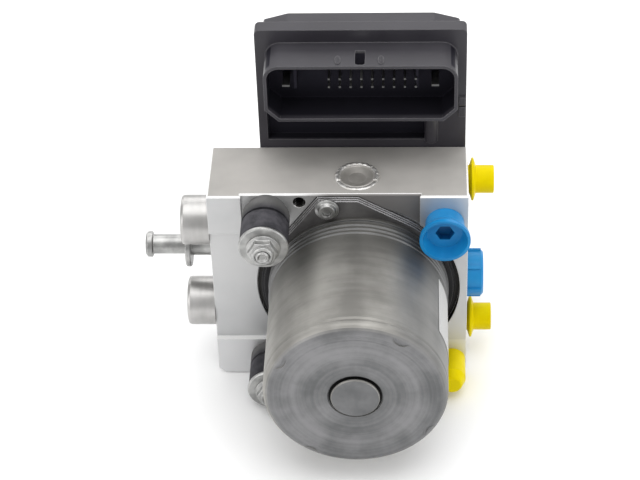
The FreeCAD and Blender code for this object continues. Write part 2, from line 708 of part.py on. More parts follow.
# Deep cap pressed over the accumulator bore.
def accumulator_cap(z):
    inner = ACC_BORE_R - CAP_WALL
    profile = [(0, CAP_OUT), (CAP_R - 1.2, CAP_OUT), (CAP_R - 0.35, CAP_OUT - 0.35), (CAP_R, CAP_OUT - 1.2)]
    profile += [(CAP_R, 0), (ACC_BORE_R, 0), (ACC_BORE_R, -CAP_SKIRT), (inner, -CAP_SKIRT)]
    profile += [(inner, CAP_OUT - CAP_WALL), (0, CAP_OUT - CAP_WALL)]
    return turned(profile, (LEFT, ACC_Y, z), (-1, 0, 0))


def acc_piston_face():
    return LEFT + ACC_BORE_LEN - 0.3


# Accumulator piston, hollow towards its spring, with a groove for the seal ring.
def accumulator_piston(z):
    radius = ACC_BORE_R - ACC_PISTON_GAP
    groove = radius - 1.3
    profile = [(0, 0), (radius - 0.6, 0), (radius, 0.6), (radius, 2.2), (groove, 2.2), (groove, 4.4)]
    profile += [(radius, 4.4), (radius, ACC_PISTON_LEN), (ACC_COIL_R + 1.1, ACC_PISTON_LEN)]
    profile += [(ACC_COIL_R + 1.1, 3.0), (0, 3.0)]
    return turned(profile, (acc_piston_face(), ACC_Y, z), (-1, 0, 0))


def accumulator_seal(z):
    x = acc_piston_face() - 3.3
    outer = ACC_BORE_R - 0.02
    small = outer - (ACC_BORE_R - ACC_PISTON_GAP - 1.3)
    return Part.makeTorus(outer - small / 2, small / 2, V(x, ACC_Y, z), V(1, 0, 0))


def accumulator_spring(z):
    start = acc_piston_face() - 3.0 - ACC_COIL_WIRE - 0.05
    end = LEFT - CAP_OUT + CAP_WALL + ACC_COIL_WIRE + 0.05
    return spring(ACC_COIL_R, ACC_COIL_WIRE, start - end, 6, (start, ACC_Y, z), (-1, 0, 0))


# Turned mounting pin: threaded root, collar, shank and a lipped head.
def mounting_pin():
    profile = [(0, -PIN_THREAD_LEN + 0.5), (PIN_THREAD_R, -PIN_THREAD_LEN + 0.5), (PIN_THREAD_R, 0)]
    profile += [(PIN_NECK_R, 0), (PIN_NECK_R, COLLAR_X0)]
    profile += [(COLLAR_R - 0.4, COLLAR_X0), (COLLAR_R, COLLAR_X0 + 0.4)]
    profile += [(COLLAR_R, COLLAR_X0 + COLLAR_T - 0.4), (COLLAR_R - 0.4, COLLAR_X0 + COLLAR_T)]
    profile += [(PIN_R, COLLAR_X0 + COLLAR_T), (PIN_R, PIN_REACH - HEAD_T - 0.5), (HEAD_R, PIN_REACH - HEAD_T)]
    profile += [(HEAD_R, PIN_REACH - 0.7), (HEAD_R - 0.7, PIN_REACH), (0, PIN_REACH)]
    return turned(profile, (LEFT, PIN_Y, PIN_Z), (-1, 0, 0))


# Rubber bushing with a waist groove for the bracket plate.
def isolator_rubber(z, seat):
    waist = ISO_R - ISO_GROOVE_D
    low = ISO_GROOVE_Y - ISO_GROOVE_W / 2
    high = ISO_GROOVE_Y + ISO_GROOVE_W / 2
    root = ISO_ROOT_LEN
    profile = [(STUD_R, -seat), (ISO_ROOT_R, -seat), (ISO_ROOT_R, root), (ISO_R, root + 1.0), (ISO_R, low)]
    profile += [(waist, low), (waist, high)]
    profile += [(ISO_R, high), (ISO_R, ISO_LEN - 0.6), (ISO_R - 0.6, ISO_LEN), (STUD_R, ISO_LEN)]
    return turned(profile, (ISO_X, FRONT, z), (0, -1, 0))


def isolator_washers():
    y1 = FRONT - ISO_LEN
    rings = []
    for z in ISO_Z:
        profile = [(STUD_R, 0), (WASHER_R - 0.5, 0), (WASHER_R, 0.5), (WASHER_R, WASHER_T - 0.4)]
        profile += [(WASHER_R - 0.4, WASHER_T), (STUD_R, WASHER_T)]
        rings.append(turned(profile, (ISO_X, y1, z), (0, -1, 0)))
    return Part.makeCompound(rings)


def nut_start():
    return FRONT - ISO_LEN - WASHER_T


# Locking nut: flange, hexagon and a round crimped collar.
def isolator_nuts():
    nuts = []
    corner = NUT_AF / 2 + 0.9
    for z in ISO_Z:
        start = (ISO_X, nut_start(), z)
        body = hexagon(NUT_AF, start, (0, -1, 0), NUT_H)
        dome = turned([(0, 0), (corner, 0), (corner, NUT_H - 0.8), (NUT_AF / 2 - 0.3, NUT_H), (0, NUT_H)],
                      start, (0, -1, 0))
        wide = [(0, 0), (NUT_FLANGE_R, 0), (NUT_FLANGE_R, 0.8), (NUT_AF / 2, 1.6), (0, 1.6)]
        flange = turned(wide, start, (0, -1, 0))
        top = NUT_H + NUT_COLLAR_H
        narrow = [(0, NUT_H - 1), (NUT_COLLAR_R, NUT_H - 1), (NUT_COLLAR_R, top - 0.4)]
        collar = turned(narrow + [(NUT_COLLAR_R - 0.4, top), (0, top)], start, (0, -1, 0))
        nut = body.common(dome).fuse(flange).fuse(collar)
        nuts.append(nut.cut(rod_y(STUD_R, stud_tip() - 1, FRONT, ISO_X, z)).removeSplitter())
    return Part.makeCompound(nuts)


def stud_tip():
    return nut_start() - NUT_H - NUT_COLLAR_H - STUD_FREE


def isolator_studs():
    studs = []
    for z in ISO_Z:
        length = FRONT + STUD_DEEP - 0.5 - stud_tip()
        profile = [(0, STUD_DIMPLE_DEEP), (STUD_DIMPLE_R - 0.6, STUD_DIMPLE_DEEP), (STUD_DIMPLE_R, 0)]
        profile += [(STUD_R - 0.6, 0), (STUD_R, 0.6), (STUD_R, length), (0, length)]
        studs.append(turned(profile, (ISO_X, stud_tip(), z), (0, 1, 0)))
    return Part.makeCompound(studs)


# Valve cartridge: staked body in the block and a thin dome that enters the coil.
def valve_body(x, z):
    profile = [(0, VALVE_Y0), (VALVE_R - 0.6, VALVE_Y0), (VALVE_R, VALVE_Y0 + 0.6), (VALVE_R, BACK)]
    profile += [(DOME_R, BACK), (DOME_R, DOME_END - 0.8), (DOME_R - 0.8, DOME_END), (0, DOME_END)]
    inside = DOME_END - DOME_WALL
    profile += [(0, inside), (DOME_BORE_R, inside), (DOME_BORE_R, DOME_BORE_Y0), (0, DOME_BORE_Y0)]
    return turned(profile, (x, 0, z), (0, 1, 0))


def valve_bodies(z):
    return Part.makeCompound([valve_body(x, z) for x in VALVE_X])


# Plunger of one solenoid valve with its sealing tip.
def valve_armature(x, z):
    radius = DOME_BORE_R - ARMATURE_GAP
    profile = [(0, TIP_Y0), (TIP_R - 0.4, TIP_Y0), (TIP_R, TIP_Y0 + 0.5), (TIP_R, ARMATURE_Y0)]
    profile += [(radius - 0.3, ARMATURE_Y0), (radius, ARMATURE_Y0 + 0.3)]
    profile += [(radius, ARMATURE_Y1), (0, ARMATURE_Y1)]
    return turned(profile, (x, 0, z), (0, 1, 0))


# Solenoid coils on moulded bobbins, one over each valve dome.
def solenoid_coils():
    coils = []
    for x, z in valve_places():
        inner = DOME_R + COIL_GAP
        wound = COIL_R - BOBBIN_RIM
        near = COIL_Y0 + BOBBIN_T
        far = COIL_Y1 - BOBBIN_T
        profile = [(inner, COIL_Y0), (COIL_R, COIL_Y0), (COIL_R, near), (wound, near)]
        profile += [(wound, far), (COIL_R, far), (COIL_R, COIL_Y1), (inner, COIL_Y1)]
        coils.append(turned(profile, (x, 0, z), (0, 1, 0)))
    return Part.makeCompound(coils)


def connector_pins():
    pins = []
    half = PIN_SIDE / 2
    for z in PIN_ROWS:
        for i in range(PIN_COLUMNS):
            x = PIN_X0 + i * PIN_PITCH
            pins.append(box(x - half, x + half, PIN_TIP_Y, BOARD_Y0, z - half, z + half))
    return Part.makeCompound(pins)


def power_tabs():
    tabs = []
    for x in TAB_X:
        thick = TAB_T / 2
        tabs.append(box(x - TAB_W / 2, x + TAB_W / 2, PIN_TIP_Y, BOARD_Y0, TAB_Z - thick, TAB_Z + thick))
    return Part.makeCompound(tabs)


# Outline of the socket: round upper corners and chamfered lower ones.
def socket_outline(grow, y0, y1):
    x0, x1, z0, z1 = SOCKET_X0 - grow, SOCKET_X1 + grow, SOCKET_Z0 - grow, SOCKET_Z1 + grow
    cut = SOCKET_CHAMFER + grow * (2 - math.sqrt(2))
    points = [(x0 + cut, z0), (x1 - cut, z0), (x1, z0 + cut), (x1, z1), (x0, z1), (x0, z0 + cut)]
    solid = plate_xz(points, y0, y1)
    upper = edges_along_y(solid, low=z1 - 0.1)
    return solid.makeFillet(SOCKET_RADIUS + grow, upper)


# Outline of the tub with slanted upper corners, drawn again further in by inset for the room inside it.
def tub_outline(x0, x1, z0, z1, inset, y0, y1):
    steep = math.hypot(1 / ECU_SLANT_X, 1 / ECU_SLANT_Z)
    keep = 1 - inset * (1 / ECU_SLANT_X + 1 / ECU_SLANT_Z - steep)
    dx = ECU_SLANT_X * keep
    dz = ECU_SLANT_Z * keep
    return plate_xz([(x0, z0), (x1, z0), (x1, z1 - dz), (x1 - dx, z1), (x0 + dx, z1), (x0, z1 - dz)], y0, y1)


# Tub behind the flange with its rear edge sloped off.
def ecu_tub(x0, x1):
    tub = tub_outline(x0, x1, ECU_Z0 + 1, ECU_Z1 - 0.4, 0, BACK + ECU_FLANGE, ECU_BACK)
    tub = tub.makeFillet(ECU_TOP_RADIUS, edges_along_y(tub, low=ECU_SLOPE_Z))
    return tub.makeFillet(ECU_TUB_RADIUS, edges_along_y(tub, high=ECU_Z0 + 2)).cut(slope_wedge(0))


def hollow_box(grow, y0, y1):
    return box(HOLLOW_X0 - grow, HOLLOW_X1 + grow, y0, y1, HOLLOW_Z0 - grow, HOLLOW_Z1 + grow)


# Room for the coils and the board, kept clear of the screw columns and of the hollow under the socket.
def ecu_room(x0, x1):
    z0 = ECU_Z0 + ECU_WALL + 1
    z1 = ECU_Z1 - ECU_WALL - 0.4
    room = tub_outline(x0 + ECU_WALL, x1 - ECU_WALL, z0, z1, ECU_WALL, BACK + ECU_WALL, ECU_BACK + 1)
    room = room.cut(slope_wedge(ECU_WALL))
    for x, z in screw_places():
        room = room.cut(rod_y(COLUMN_R, BACK, ECU_BACK + 1, x, z))
    return room.cut(hollow_box(ECU_WALL, BACK, BACK + HOLLOW_DEEP + ECU_WALL))


# Connector socket: shroud, open latch window in its roof and the two dividers beside the power tabs.
def ecu_socket():
    socket = socket_outline(0, SOCKET_Y0, BACK)
    socket = socket.cut(socket_outline(-SOCKET_WALL, SOCKET_Y0 - 1, SOCKET_FLOOR))
    for x in DIVIDER_X:
        half = DIVIDER_T / 2
        divider = box(x - half, x + half, DIVIDER_Y0, SOCKET_FLOOR + 0.5, DIVIDER_Z0, SOCKET_Z1 - 0.5)
        socket = socket.fuse(divider)
    half = LATCH_W / 2
    window = box(ECU_MID - half, ECU_MID + half, LATCH_Y0, LATCH_Y1, SOCKET_Z1 - 3, SOCKET_Z1 + 1)
    upright = [edge for edge in window.Edges if abs(edge.tangentAt(edge.FirstParameter).z) > 0.99]
    corners = [edge for edge in upright if edge.CenterOfMass.y < LATCH_Y0 + 1]
    return socket.cut(window.makeFillet(LATCH_RADIUS, corners))


# Moulded housing of the control unit: flange, coil chamber, sloped top and the connector socket.
def ecu_housing():
    flange = rounded_xz(ECU_X0, ECU_X1, ECU_Z0, ECU_Z1, ECU_FLANGE_RADIUS, BACK, BACK + ECU_FLANGE)
    x0 = ECU_X0 + ECU_INSET
    x1 = ECU_X1 - ECU_INSET
    shell = flange.fuse(ecu_tub(x0, x1)).cut(ecu_room(x0, x1))
    shell = shell.cut(hollow_box(0, BACK - 1, BACK + HOLLOW_DEEP))
    rib_y = BACK + RIB_SUNK
    shell = shell.fuse(rod(RIB_R, (HOLLOW_X1, rib_y, HOLLOW_Z0 - 1), (HOLLOW_X1, rib_y, HOLLOW_Z1 + 1)))
    for low, high in LUG_SPANS:
        x = ECU_X1 - LUG_EDGE
        shell = shell.fuse(box(x - LUG_W, x, BACK - LUG_OUT, BACK + 1, SOCKET_Z0 + low, SOCKET_Z0 + high))
    shell = shell.fuse(ecu_socket())
    for x, z in valve_places():
        shell = shell.cut(rod_y(DOME_R + DOME_ROOM, BACK - 1, BACK + ECU_WALL + 1, x, z))
    for x, z in screw_places():
        shell = shell.cut(rod_y(ECU_SCREW_R + SCREW_HOLE_ROOM, BACK - 1, ECU_BACK + 1, x, z))
    shell = shell.cut(gasket_path(BACK - 1, BACK + GASKET_T))
    return shell.cut(connector_pins()).cut(power_tabs()).removeSplitter()


def slope_wedge(inward):
    y0 = ECU_SLOPE_Y - inward * 0.4
    points = [V(ECU_X0 - 5, y0, ECU_Z1 + 1 - inward), V(ECU_X0 - 5, ECU_BACK + 2, ECU_SLOPE_Z - 2 - inward)]
    points += [V(ECU_X0 - 5, ECU_BACK + 2, ECU_Z1 + 9), V(ECU_X0 - 5, y0, ECU_Z1 + 9)]
    face = Part.Face(Part.makePolygon(points + [points[0]]))
    return face.extrude(V(ECU_X1 - ECU_X0 + 10, 0, 0))


def screw_places():
    return [(x, z) for x in ECU_SCREW_X for z in ECU_SCREW_Z]


def gasket_path(y0, y1):
    edge = GASKET_EDGE
    outer = rounded_xz(ECU_X0 + edge, ECU_X1 - edge, ECU_Z0 + edge, GASKET_TOP, 3.0, y0, y1)
    edge = GASKET_EDGE + GASKET_W
    top = GASKET_TOP - GASKET_W
    inner = rounded_xz(ECU_X0 + edge, ECU_X1 - edge, ECU_Z0 + edge, top, 1.6, y0 - 1, y1 + 1)
    loop = outer.cut(inner)
    for x, z in screw_places():
        loop = loop.cut(rod_y(COLUMN_R - 1.2, y0 - 1, y1 + 1, x, z))
    return loop


# Flat lid of the control unit with a raised centre panel and corner reliefs for the screws.
def ecu_cover():
    x0 = ECU_X0 + ECU_INSET
    x1 = ECU_X1 - ECU_INSET
    top = ECU_SLOPE_Z - 0.6
    lid = rounded_xz(x0, x1, ECU_Z0 + 1, top, 4.0, ECU_BACK, ECU_BACK + COVER_T - COVER_PANEL)
    panel_z0 = ECU_Z0 + COVER_INSET + 2.0
    panel_z1 = top - 8.0
    panel = rounded_xz(x0 + COVER_INSET, x1 - COVER_INSET, panel_z0, panel_z1, 5.0, ECU_BACK,
                       ECU_BACK + COVER_T)
    lid = lid.fuse(panel)
    for x, z in screw_places():
        lid = lid.cut(rod_y(ECU_HEAD_R + ECU_HEAD_ROOM, ECU_BACK - 1, ECU_BACK + COVER_T + 1, x, z))
    return lid.removeSplitter()


def ecu_screws():
    screws = []
    for x, z in screw_places():
        end = BACK - ECU_SCREW_DEEP
        profile = [(0, end), (ECU_SCREW_R, end), (ECU_SCREW_R, ECU_BACK), (ECU_HEAD_R, ECU_BACK)]
        profile += [(ECU_HEAD_R, ECU_BACK + ECU_HEAD_H - 0.6), (ECU_HEAD_R - 0.6, ECU_BACK + ECU_HEAD_H)]
        profile += [(0, ECU_BACK + ECU_HEAD_H)]
        screw = turned(profile, (x, 0, z), (0, 1, 0))
        socket = hexagon(ECU_SOCKET_AF, (x, ECU_BACK + 0.6, z), (0, 1, 0), ECU_HEAD_H)
        screws.append(screw.cut(socket))
    return Part.makeCompound(screws)


def circuit_board():
    side = ECU_INSET + ECU_WALL + BOARD_ROOM
    z0 = ECU_Z0 + ECU_WALL + 1 + BOARD_ROOM
    board = box(ECU_X0 + side, ECU_X1 - side, BOARD_Y0, BOARD_Y0 + BOARD_T, z0, ECU_SLOPE_Z)
    for x, z in screw_places():
        board = board.cut(rod_y(COLUMN_R + BOARD_ROOM, BOARD_Y0 - 1, BOARD_Y0 + BOARD_T + 1, x, z))
    return board


# Stem that every transit plug and cap pushes into its port.
def stem_profile():
    return [(0, -STEM_LEN), (PORT_R - 0.8, -STEM_LEN), (PORT_R, -STEM_LEN + STEM_TAPER), (PORT_R, 0)]


# Moulded push-in plug for a side port, with a pull flange that thins towards its rim.
def side_plug(y, z):
    inner = PLUG_BODY_R - PLUG_BODY_WALL
    middle = PLUG_FLANGE_X0 + PLUG_FLANGE_T / 2
    profile = stem_profile()
    profile += [(PLUG_BODY_R, 0), (PLUG_BODY_R, PLUG_FLANGE_X0)]
    profile += [(PLUG_FLANGE_R, middle - PLUG_FLANGE_RIM / 2)]
    profile += [(PLUG_FLANGE_R, middle + PLUG_FLANGE_RIM / 2), (PLUG_BODY_R, PLUG_FLANGE_X0 + PLUG_FLANGE_T)]
    profile += [(PLUG_BODY_R, PLUG_BODY_LEN - 0.3), (PLUG_BODY_R - 0.3, PLUG_BODY_LEN)]
    profile += [(inner, PLUG_BODY_LEN)]
    profile += [(inner, PLUG_BODY_FLOOR), (0, PLUG_BODY_FLOOR)]
    return turned(profile, (RIGHT, y, z), (1, 0, 0))


# Longer closed plug without a flange and with a tapered end, in the front port at the lower right.
def front_plug():
    profile = stem_profile()
    profile += [(PLUG_BODY_R, 0), (PLUG_BODY_R, FRONT_PLUG_LEN - FRONT_PLUG_TIP)]
    profile += [(PLUG_BODY_R - 1.4, FRONT_PLUG_LEN - 0.5), (PLUG_BODY_R - 2.0, FRONT_PLUG_LEN)]
    profile += [(0, FRONT_PLUG_LEN)]
    return turned(profile, (FRONT_PLUG_X, FRONT, FRONT_PLUG_Z), (0, -1, 0))


# Flat cap with six narrow grip ribs round its edge.
def ribbed_cap():
    profile = stem_profile()
    profile += [(RIBBED_R, 0), (RIBBED_R, RIBBED_LEN - 0.8), (RIBBED_R - 0.8, RIBBED_LEN), (0, RIBBED_LEN)]
    cap = turned(profile, (RIGHT, RIBBED_Y, RIBBED_Z), (1, 0, 0))
    for i in range(RIB_COUNT):
        rib = box(RIGHT, RIGHT + RIBBED_LEN - 0.9, -RIB_W / 2, RIB_W / 2, RIBBED_R - 1, RIBBED_R + RIB_OUT)
        rib.rotate(V(0, 0, 0), V(1, 0, 0), RIB_ANGLE + i * 360 / RIB_COUNT)
        rib.translate(V(0, RIBBED_Y, RIBBED_Z))
        cap = cap.fuse(rib)
    return cap.removeSplitter()


# Open flared cap with a hexagonal drive in its floor.
def cup_cap():
    flare = CUP_LEN - CUP_RIM_T
    profile = stem_profile()
    profile += [(CUP_ROOT_R, 0), (CUP_ROOT_R + 0.5, CUP_FLOOR), (CUP_RIM_R, flare), (CUP_RIM_R, CUP_LEN)]
    profile += [(CUP_RIM_R - CUP_WALL, CUP_LEN), (CUP_ROOT_R - 0.6, CUP_FLOOR), (0, CUP_FLOOR)]
    cap = turned(profile, (CUP_X, FRONT, CUP_Z), (0, -1, 0))
    drive = hexagon(CUP_HEX_AF, (CUP_X, FRONT - CUP_FLOOR - 1, CUP_Z), (0, 1, 0), CUP_HEX_DEEP + 1)
    return cap.cut(drive)


save("valve_block", valve_block())
save("pump_plug_top", pump_plug(1))
save("pump_plug_bottom", pump_plug(-1))
save("pump_sleeves", Part.makeCompound([pump_sleeve(1), pump_sleeve(-1)]))
save("pump_piston_upper", pump_piston(1))
save("pump_piston_lower", pump_piston(-1))
save("pump_spring_upper", pump_spring(1))
save("pump_spring_lower", pump_spring(-1))
save("motor_can", motor_can())
save("motor_flange", motor_flange())
save("motor_screws", motor_screws())
save("magnets", magnets())
save("brush_holder", brush_holder())
save("brushes", brushes())
save("end_bush", end_bush())
save("bearing_outer_race", bearing_race(BEARING_R, BEARING_R - RACE_T))
save("bearing_inner_race", bearing_race(SHAFT_R + RACE_T, SHAFT_R))
save("bearing_balls", bearing_balls())
save("shaft", shaft())
save("eccentric_ring", eccentric_ring())
save("armature_core", armature_core())
save("windings", windings())
save("commutator", commutator())
save("accumulator_cap_upper", accumulator_cap(ACC_Z[0]))
save("accumulator_cap_lower", accumulator_cap(ACC_Z[1]))
save("accumulator_piston_upper", accumulator_piston(ACC_Z[0]))
save("accumulator_piston_lower", accumulator_piston(ACC_Z[1]))
save("accumulator_seal_upper", accumulator_seal(ACC_Z[0]))
save("accumulator_seal_lower", accumulator_seal(ACC_Z[1]))
save("accumulator_spring_upper", accumulator_spring(ACC_Z[0]))
save("accumulator_spring_lower", accumulator_spring(ACC_Z[1]))
save("mounting_pin", mounting_pin())
save("isolator_rubber_upper", isolator_rubber(ISO_Z[0], RECESS_DEPTH))
save("isolator_rubber_lower", isolator_rubber(ISO_Z[1], 0))
save("isolator_washers", isolator_washers())
save("isolator_nuts", isolator_nuts())
save("isolator_studs", isolator_studs())
save("inlet_valve_bodies", valve_bodies(VALVE_Z[0]))
save("outlet_valve_bodies", valve_bodies(VALVE_Z[1]))
for index, x in enumerate(VALVE_X):
    save("inlet_armature_%d" % (index + 1), valve_armature(x, VALVE_Z[0]))
    save("outlet_armature_%d" % (index + 1), valve_armature(x, VALVE_Z[1]))
save("solenoid_coils", solenoid_coils())
save("ecu_housing", ecu_housing())
save("ecu_cover", ecu_cover())
save("ecu_gasket", gasket_path(BACK, BACK + GASKET_T))
save("ecu_screws", ecu_screws())
save("circuit_board", circuit_board())
save("connector_pins", connector_pins())
save("power_tabs", power_tabs())
save("side_plug_top", side_plug(*SIDE_PLUGS[0]))
save("side_plug_low", side_plug(*SIDE_PLUGS[1]))
save("front_plug", front_plug())
save("ribbed_cap", ribbed_cap())
save("cup_cap", cup_cap())
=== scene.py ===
import math
import bmesh
import bpy
from mathutils import Matrix, Vector


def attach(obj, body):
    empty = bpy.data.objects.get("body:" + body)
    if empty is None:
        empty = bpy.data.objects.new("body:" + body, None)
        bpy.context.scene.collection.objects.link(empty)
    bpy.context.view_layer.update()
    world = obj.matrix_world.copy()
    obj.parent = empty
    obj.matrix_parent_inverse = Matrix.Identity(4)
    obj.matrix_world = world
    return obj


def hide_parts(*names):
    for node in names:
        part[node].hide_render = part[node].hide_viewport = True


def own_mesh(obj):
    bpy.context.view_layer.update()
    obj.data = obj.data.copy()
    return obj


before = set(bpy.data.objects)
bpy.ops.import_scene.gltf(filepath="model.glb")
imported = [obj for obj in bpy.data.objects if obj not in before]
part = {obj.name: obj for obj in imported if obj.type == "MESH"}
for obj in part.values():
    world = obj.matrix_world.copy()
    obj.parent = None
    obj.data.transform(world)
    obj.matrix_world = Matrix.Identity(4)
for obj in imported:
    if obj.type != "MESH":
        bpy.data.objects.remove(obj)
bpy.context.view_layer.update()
scene = bpy.context.scene

# The view: the module stands on its base and is seen from in front and above with a long lens,
# turned a few degrees, as in the photograph.
camera = bpy.data.objects.new("camera", bpy.data.cameras.new("camera"))
scene.collection.objects.link(camera)
camera.data.sensor_width = 36.0
camera.data.lens = 120.05
camera.data.clip_start = 0.05
camera.data.clip_end = 20.0
camera.matrix_world = Matrix((
    (0.999002, 0.001148, 0.044648, 0.029737),
    (0.033823, 0.633404, -0.773082, -0.653090),
    (-0.029168, 0.773820, 0.632733, 0.590809),
    (0.0, 0.0, 0.0, 1.0)))
scene.camera = camera
scene.view_settings.view_transform = "Standard"

# A pale sweep stands in for the studio table. It is lit so that it comes out white, and it keeps
# the module's soft shadow.
bpy.ops.object.select_all(action="DESELECT")
bpy.ops.mesh.primitive_plane_add(size=6.0, location=(0, 0, -0.0004))
sweep = bpy.context.object
sweep.name = "studio_floor"
paint = bpy.data.materials.new("studio_floor")
paint.use_nodes = True
shader = paint.node_tree.nodes["Principled BSDF"]
shader.inputs["Base Color"].default_value = (0.93, 0.93, 0.93, 1)
shader.inputs["Roughness"].default_value = 0.9
shader.inputs["Specular IOR Level"].default_value = 0.1
sweep.data.materials.append(paint)
world = bpy.data.worlds.new("studio")
world.use_nodes = True
sky = world.node_tree.nodes["Background"]
sky.inputs["Color"].default_value = (1, 1, 1, 1)
sky.inputs["Strength"].default_value = 0.62
scene.world = world


# Four soft lamps: a large one overhead, one high behind that gives the upward faces their sheen,
# one at the left front and a weaker one at the right front.
def softbox(name, place, target, size, watts):
    light = bpy.data.objects.new(name, bpy.data.lights.new(name, "AREA"))
    light.data.shape = "RECTANGLE"
    light.data.size, light.data.size_y = size
    light.data.energy = watts
    light.location = place
    light.rotation_euler = (Vector(target) - Vector(place)).to_track_quat("-Z", "Y").to_euler()
    scene.collection.objects.link(light)


softbox("overhead", (0.05, -0.05, 0.95), (0, 0, 0.05), (0.9, 0.9), 6.0)
softbox("high_behind", (0.0, 0.75, 0.62), (0, 0, 0.08), (2.4, 0.5), 7.0)
softbox("left_front", (-0.8, -0.7, 0.55), (0, 0, 0.05), (0.6, 0.8), 3.2)
softbox("right_front", (0.85, -0.6, 0.45), (0, 0, 0.05), (0.4, 0.8), 2.0)


# The valve block is sawn and milled from an aluminium bar. Its faces are satin, a little clouded by
# handling, the sawn top is a shade warmer, and every edge is broken, with a painted highlight along it.
# Its finish is the first one written, so the wrapper round a shader socket stands here: sums on values
# add Math nodes, and any other node is made by its type, its settings and what goes into its sockets.
class Flow:
    def __init__(self, tree, socket):
        self.tree = tree
        self.socket = socket

    def node(self, kind, settings=None, out=0, **feeds):
        made = self.tree.nodes.new("ShaderNode" + kind)
        for key, value in (settings or {}).items():
            setattr(made, key, value)
        for key, value in feeds.items():
            self.feed(made, int(key[1:]) if key[1:].isdigit() else key.replace("_", " "), value)
        return Flow(self.tree, made.outputs[out])

    def feed(self, node, key, value):
        if isinstance(value, Flow):
            self.tree.links.new(value.socket, node.inputs[key])
        elif isinstance(value, tuple) and len(value) == 3 and node.inputs[key].type == "RGBA":
            node.inputs[key].default_value = (*value, 1.0)
        else:
            node.inputs[key].default_value = value

    # A sum on the values that are given, or on this value alone.
    def maths(self, operation, *values):
        feeds = {"i%d" % i: value for i, value in enumerate(values or (self,))}
        return self.node("Math", {"operation": operation}, **feeds)

    def __add__(self, other):
        return self.maths("ADD", self, other)

    __radd__ = __add__

    def __mul__(self, other):
        return self.maths("MULTIPLY", self, other)

    __rmul__ = __mul__

    def __sub__(self, other):
        return self.maths("SUBTRACT", self, other)

    def __rsub__(self, other):
        return self.maths("SUBTRACT", other, self)

    # One colour where the mask is 0, the other where it is 1; a clouded tone steepens the noise first.
    def tint(self, low, high):
        return self.node("Mix", {"data_type": "RGBA"}, 2, i0=self, i6=low, i7=high)

    def clouded(self, low, high):
        return self.fade(0.3, 0.7).tint(low, high)

    def noise(self, scale, detail=3.0, rough=0.55):
        return self.node("TexNoise", None, 0, Vector=self, Scale=scale, Detail=detail, Roughness=rough)

    # Noise along one value alone, such as rings along a radius.
    def streaks(self, scale, detail):
        return self.node("TexNoise", {"noise_dimensions": "1D"}, 0, W=self, Scale=scale, Detail=detail)

    def stretch(self, x, y, z):
        return self.node("Mapping", None, 0, Vector=self, Scale=(x, y, z))

    # A soft step from 0 at the first value to 1 at the second, rising or falling.
    def fade(self, low, high):
        return self.node("MapRange", {"interpolation_type": "SMOOTHSTEP"}, 0, Value=self,
                         From_Min=low, From_Max=high)

    # One axis of a place or a direction: 0, 1 or 2.
    def axis(self, index):
        return self.node("SeparateXYZ", None, index, Vector=self)

    # 1 between two places on an axis, with a soft border just inside them.
    def between(self, index, low, high, soft=0.0004):
        return self.axis(index).fade(low, low + soft) * self.axis(index).fade(high, high - soft)

    # The distance from a line that runs front to back.
    def reach(self, x, z):
        across = self.axis(0) - x
        height = self.axis(2) - z
        return (across * across + height * height).maths("SQRT")

    # The true direction of the face, and the same rounded over its edges.
    def facing(self):
        return self.node("NewGeometry", None, 1)

    def edge(self, radius):
        return self.node("Bevel", {"samples": 4}, 0, Radius=radius)

    # How far the rounded direction leans away from the face: 0 on the flat, more along an edge.
    # It marks where a painted highlight goes along the edges.
    def edge_sheen(self, bent):
        lean = self.node("VectorMath", {"operation": "DOT_PRODUCT"}, 1, i0=bent, i1=self.facing())
        return (1.0 - lean).fade(0.002, 0.12)

    def bump(self, strength, distance, over=None):
        feeds = {"Normal": over} if over else {}
        return self.node("Bump", None, 0, Strength=strength, Distance=distance, Height=self, **feeds)


# A finish starts from one principled shader with its constants set on its own sockets;
# what varies over the surface is then fed in by name.
def finish(name, **constants):
    material = bpy.data.materials.new(name)
    material.use_nodes = True
    tree = material.node_tree
    shader = tree.nodes["Principled BSDF"]
    place = Flow(tree, tree.nodes.new("ShaderNodeTexCoord").outputs["Object"])
    for key, value in constants.items():
        place.feed(shader, key.replace("_", " "), value)
    return material, shader, place


def dress(material, *names):
    for name in names:
        part[name].data.materials.clear()
        part[name].data.materials.append(material)


# The motor's axis, the pocket round it and the spare hole's axis, as they lie in the front face.
motor_x, motor_z, pocket_radius = 0.0074, 0.0450, 0.0400
hole_x, hole_z = -0.0146, 0.0866

milled, shader, place = finish("milled_aluminium")
rounded = place.edge(0.0004)
cloud = place.noise(22.0, 4.0)
upward = place.facing().axis(2)
sawn = upward.fade(0.5, 0.9)
plain = cloud.clouded((0.52, 0.525, 0.53), (0.62, 0.62, 0.62))
# Below the ledge the face is painted paler: painted light on the lower face.
lit_foot = place.axis(2).fade(0.0182, 0.0176) * 0.6
plain = lit_foot.tint(plain, (0.76, 0.76, 0.765))
warm = cloud.clouded((0.31, 0.30, 0.282), (0.42, 0.402, 0.382))
base = sawn.tint(plain, warm)
# The floor of the recess round the motor's ear is painted darker, and the pocket's wall round the motor
# and the spare hole nearly black: painted shade, where the flange, the can and the hole's depth keep
# the light off.
recess_shade = place.axis(1).fade(-0.0153, -0.0149) * place.axis(1).fade(-0.0138, -0.0141)
recess_shade = recess_shade * place.axis(0).fade(-0.0210, -0.0020) * place.axis(0).fade(0.0322, 0.0318)
recess_shade = recess_shade * place.axis(2).fade(0.0720, 0.0726)
pocket_shade = place.reach(motor_x, motor_z).fade(pocket_radius + 0.0002, pocket_radius - 0.0002)
pocket_shade = pocket_shade * place.axis(1).fade(-0.0159, -0.0155) * place.axis(2).fade(0.074, 0.066)
bore_shade = place.reach(hole_x, hole_z).fade(0.00275, 0.00262) * place.axis(1).fade(-0.0143, -0.0138)
base = (recess_shade * 0.8).tint(base, (0.15, 0.14, 0.135))
base = bore_shade.maths("MAXIMUM", bore_shade, pocket_shade).tint(base, (0.030, 0.029, 0.028))
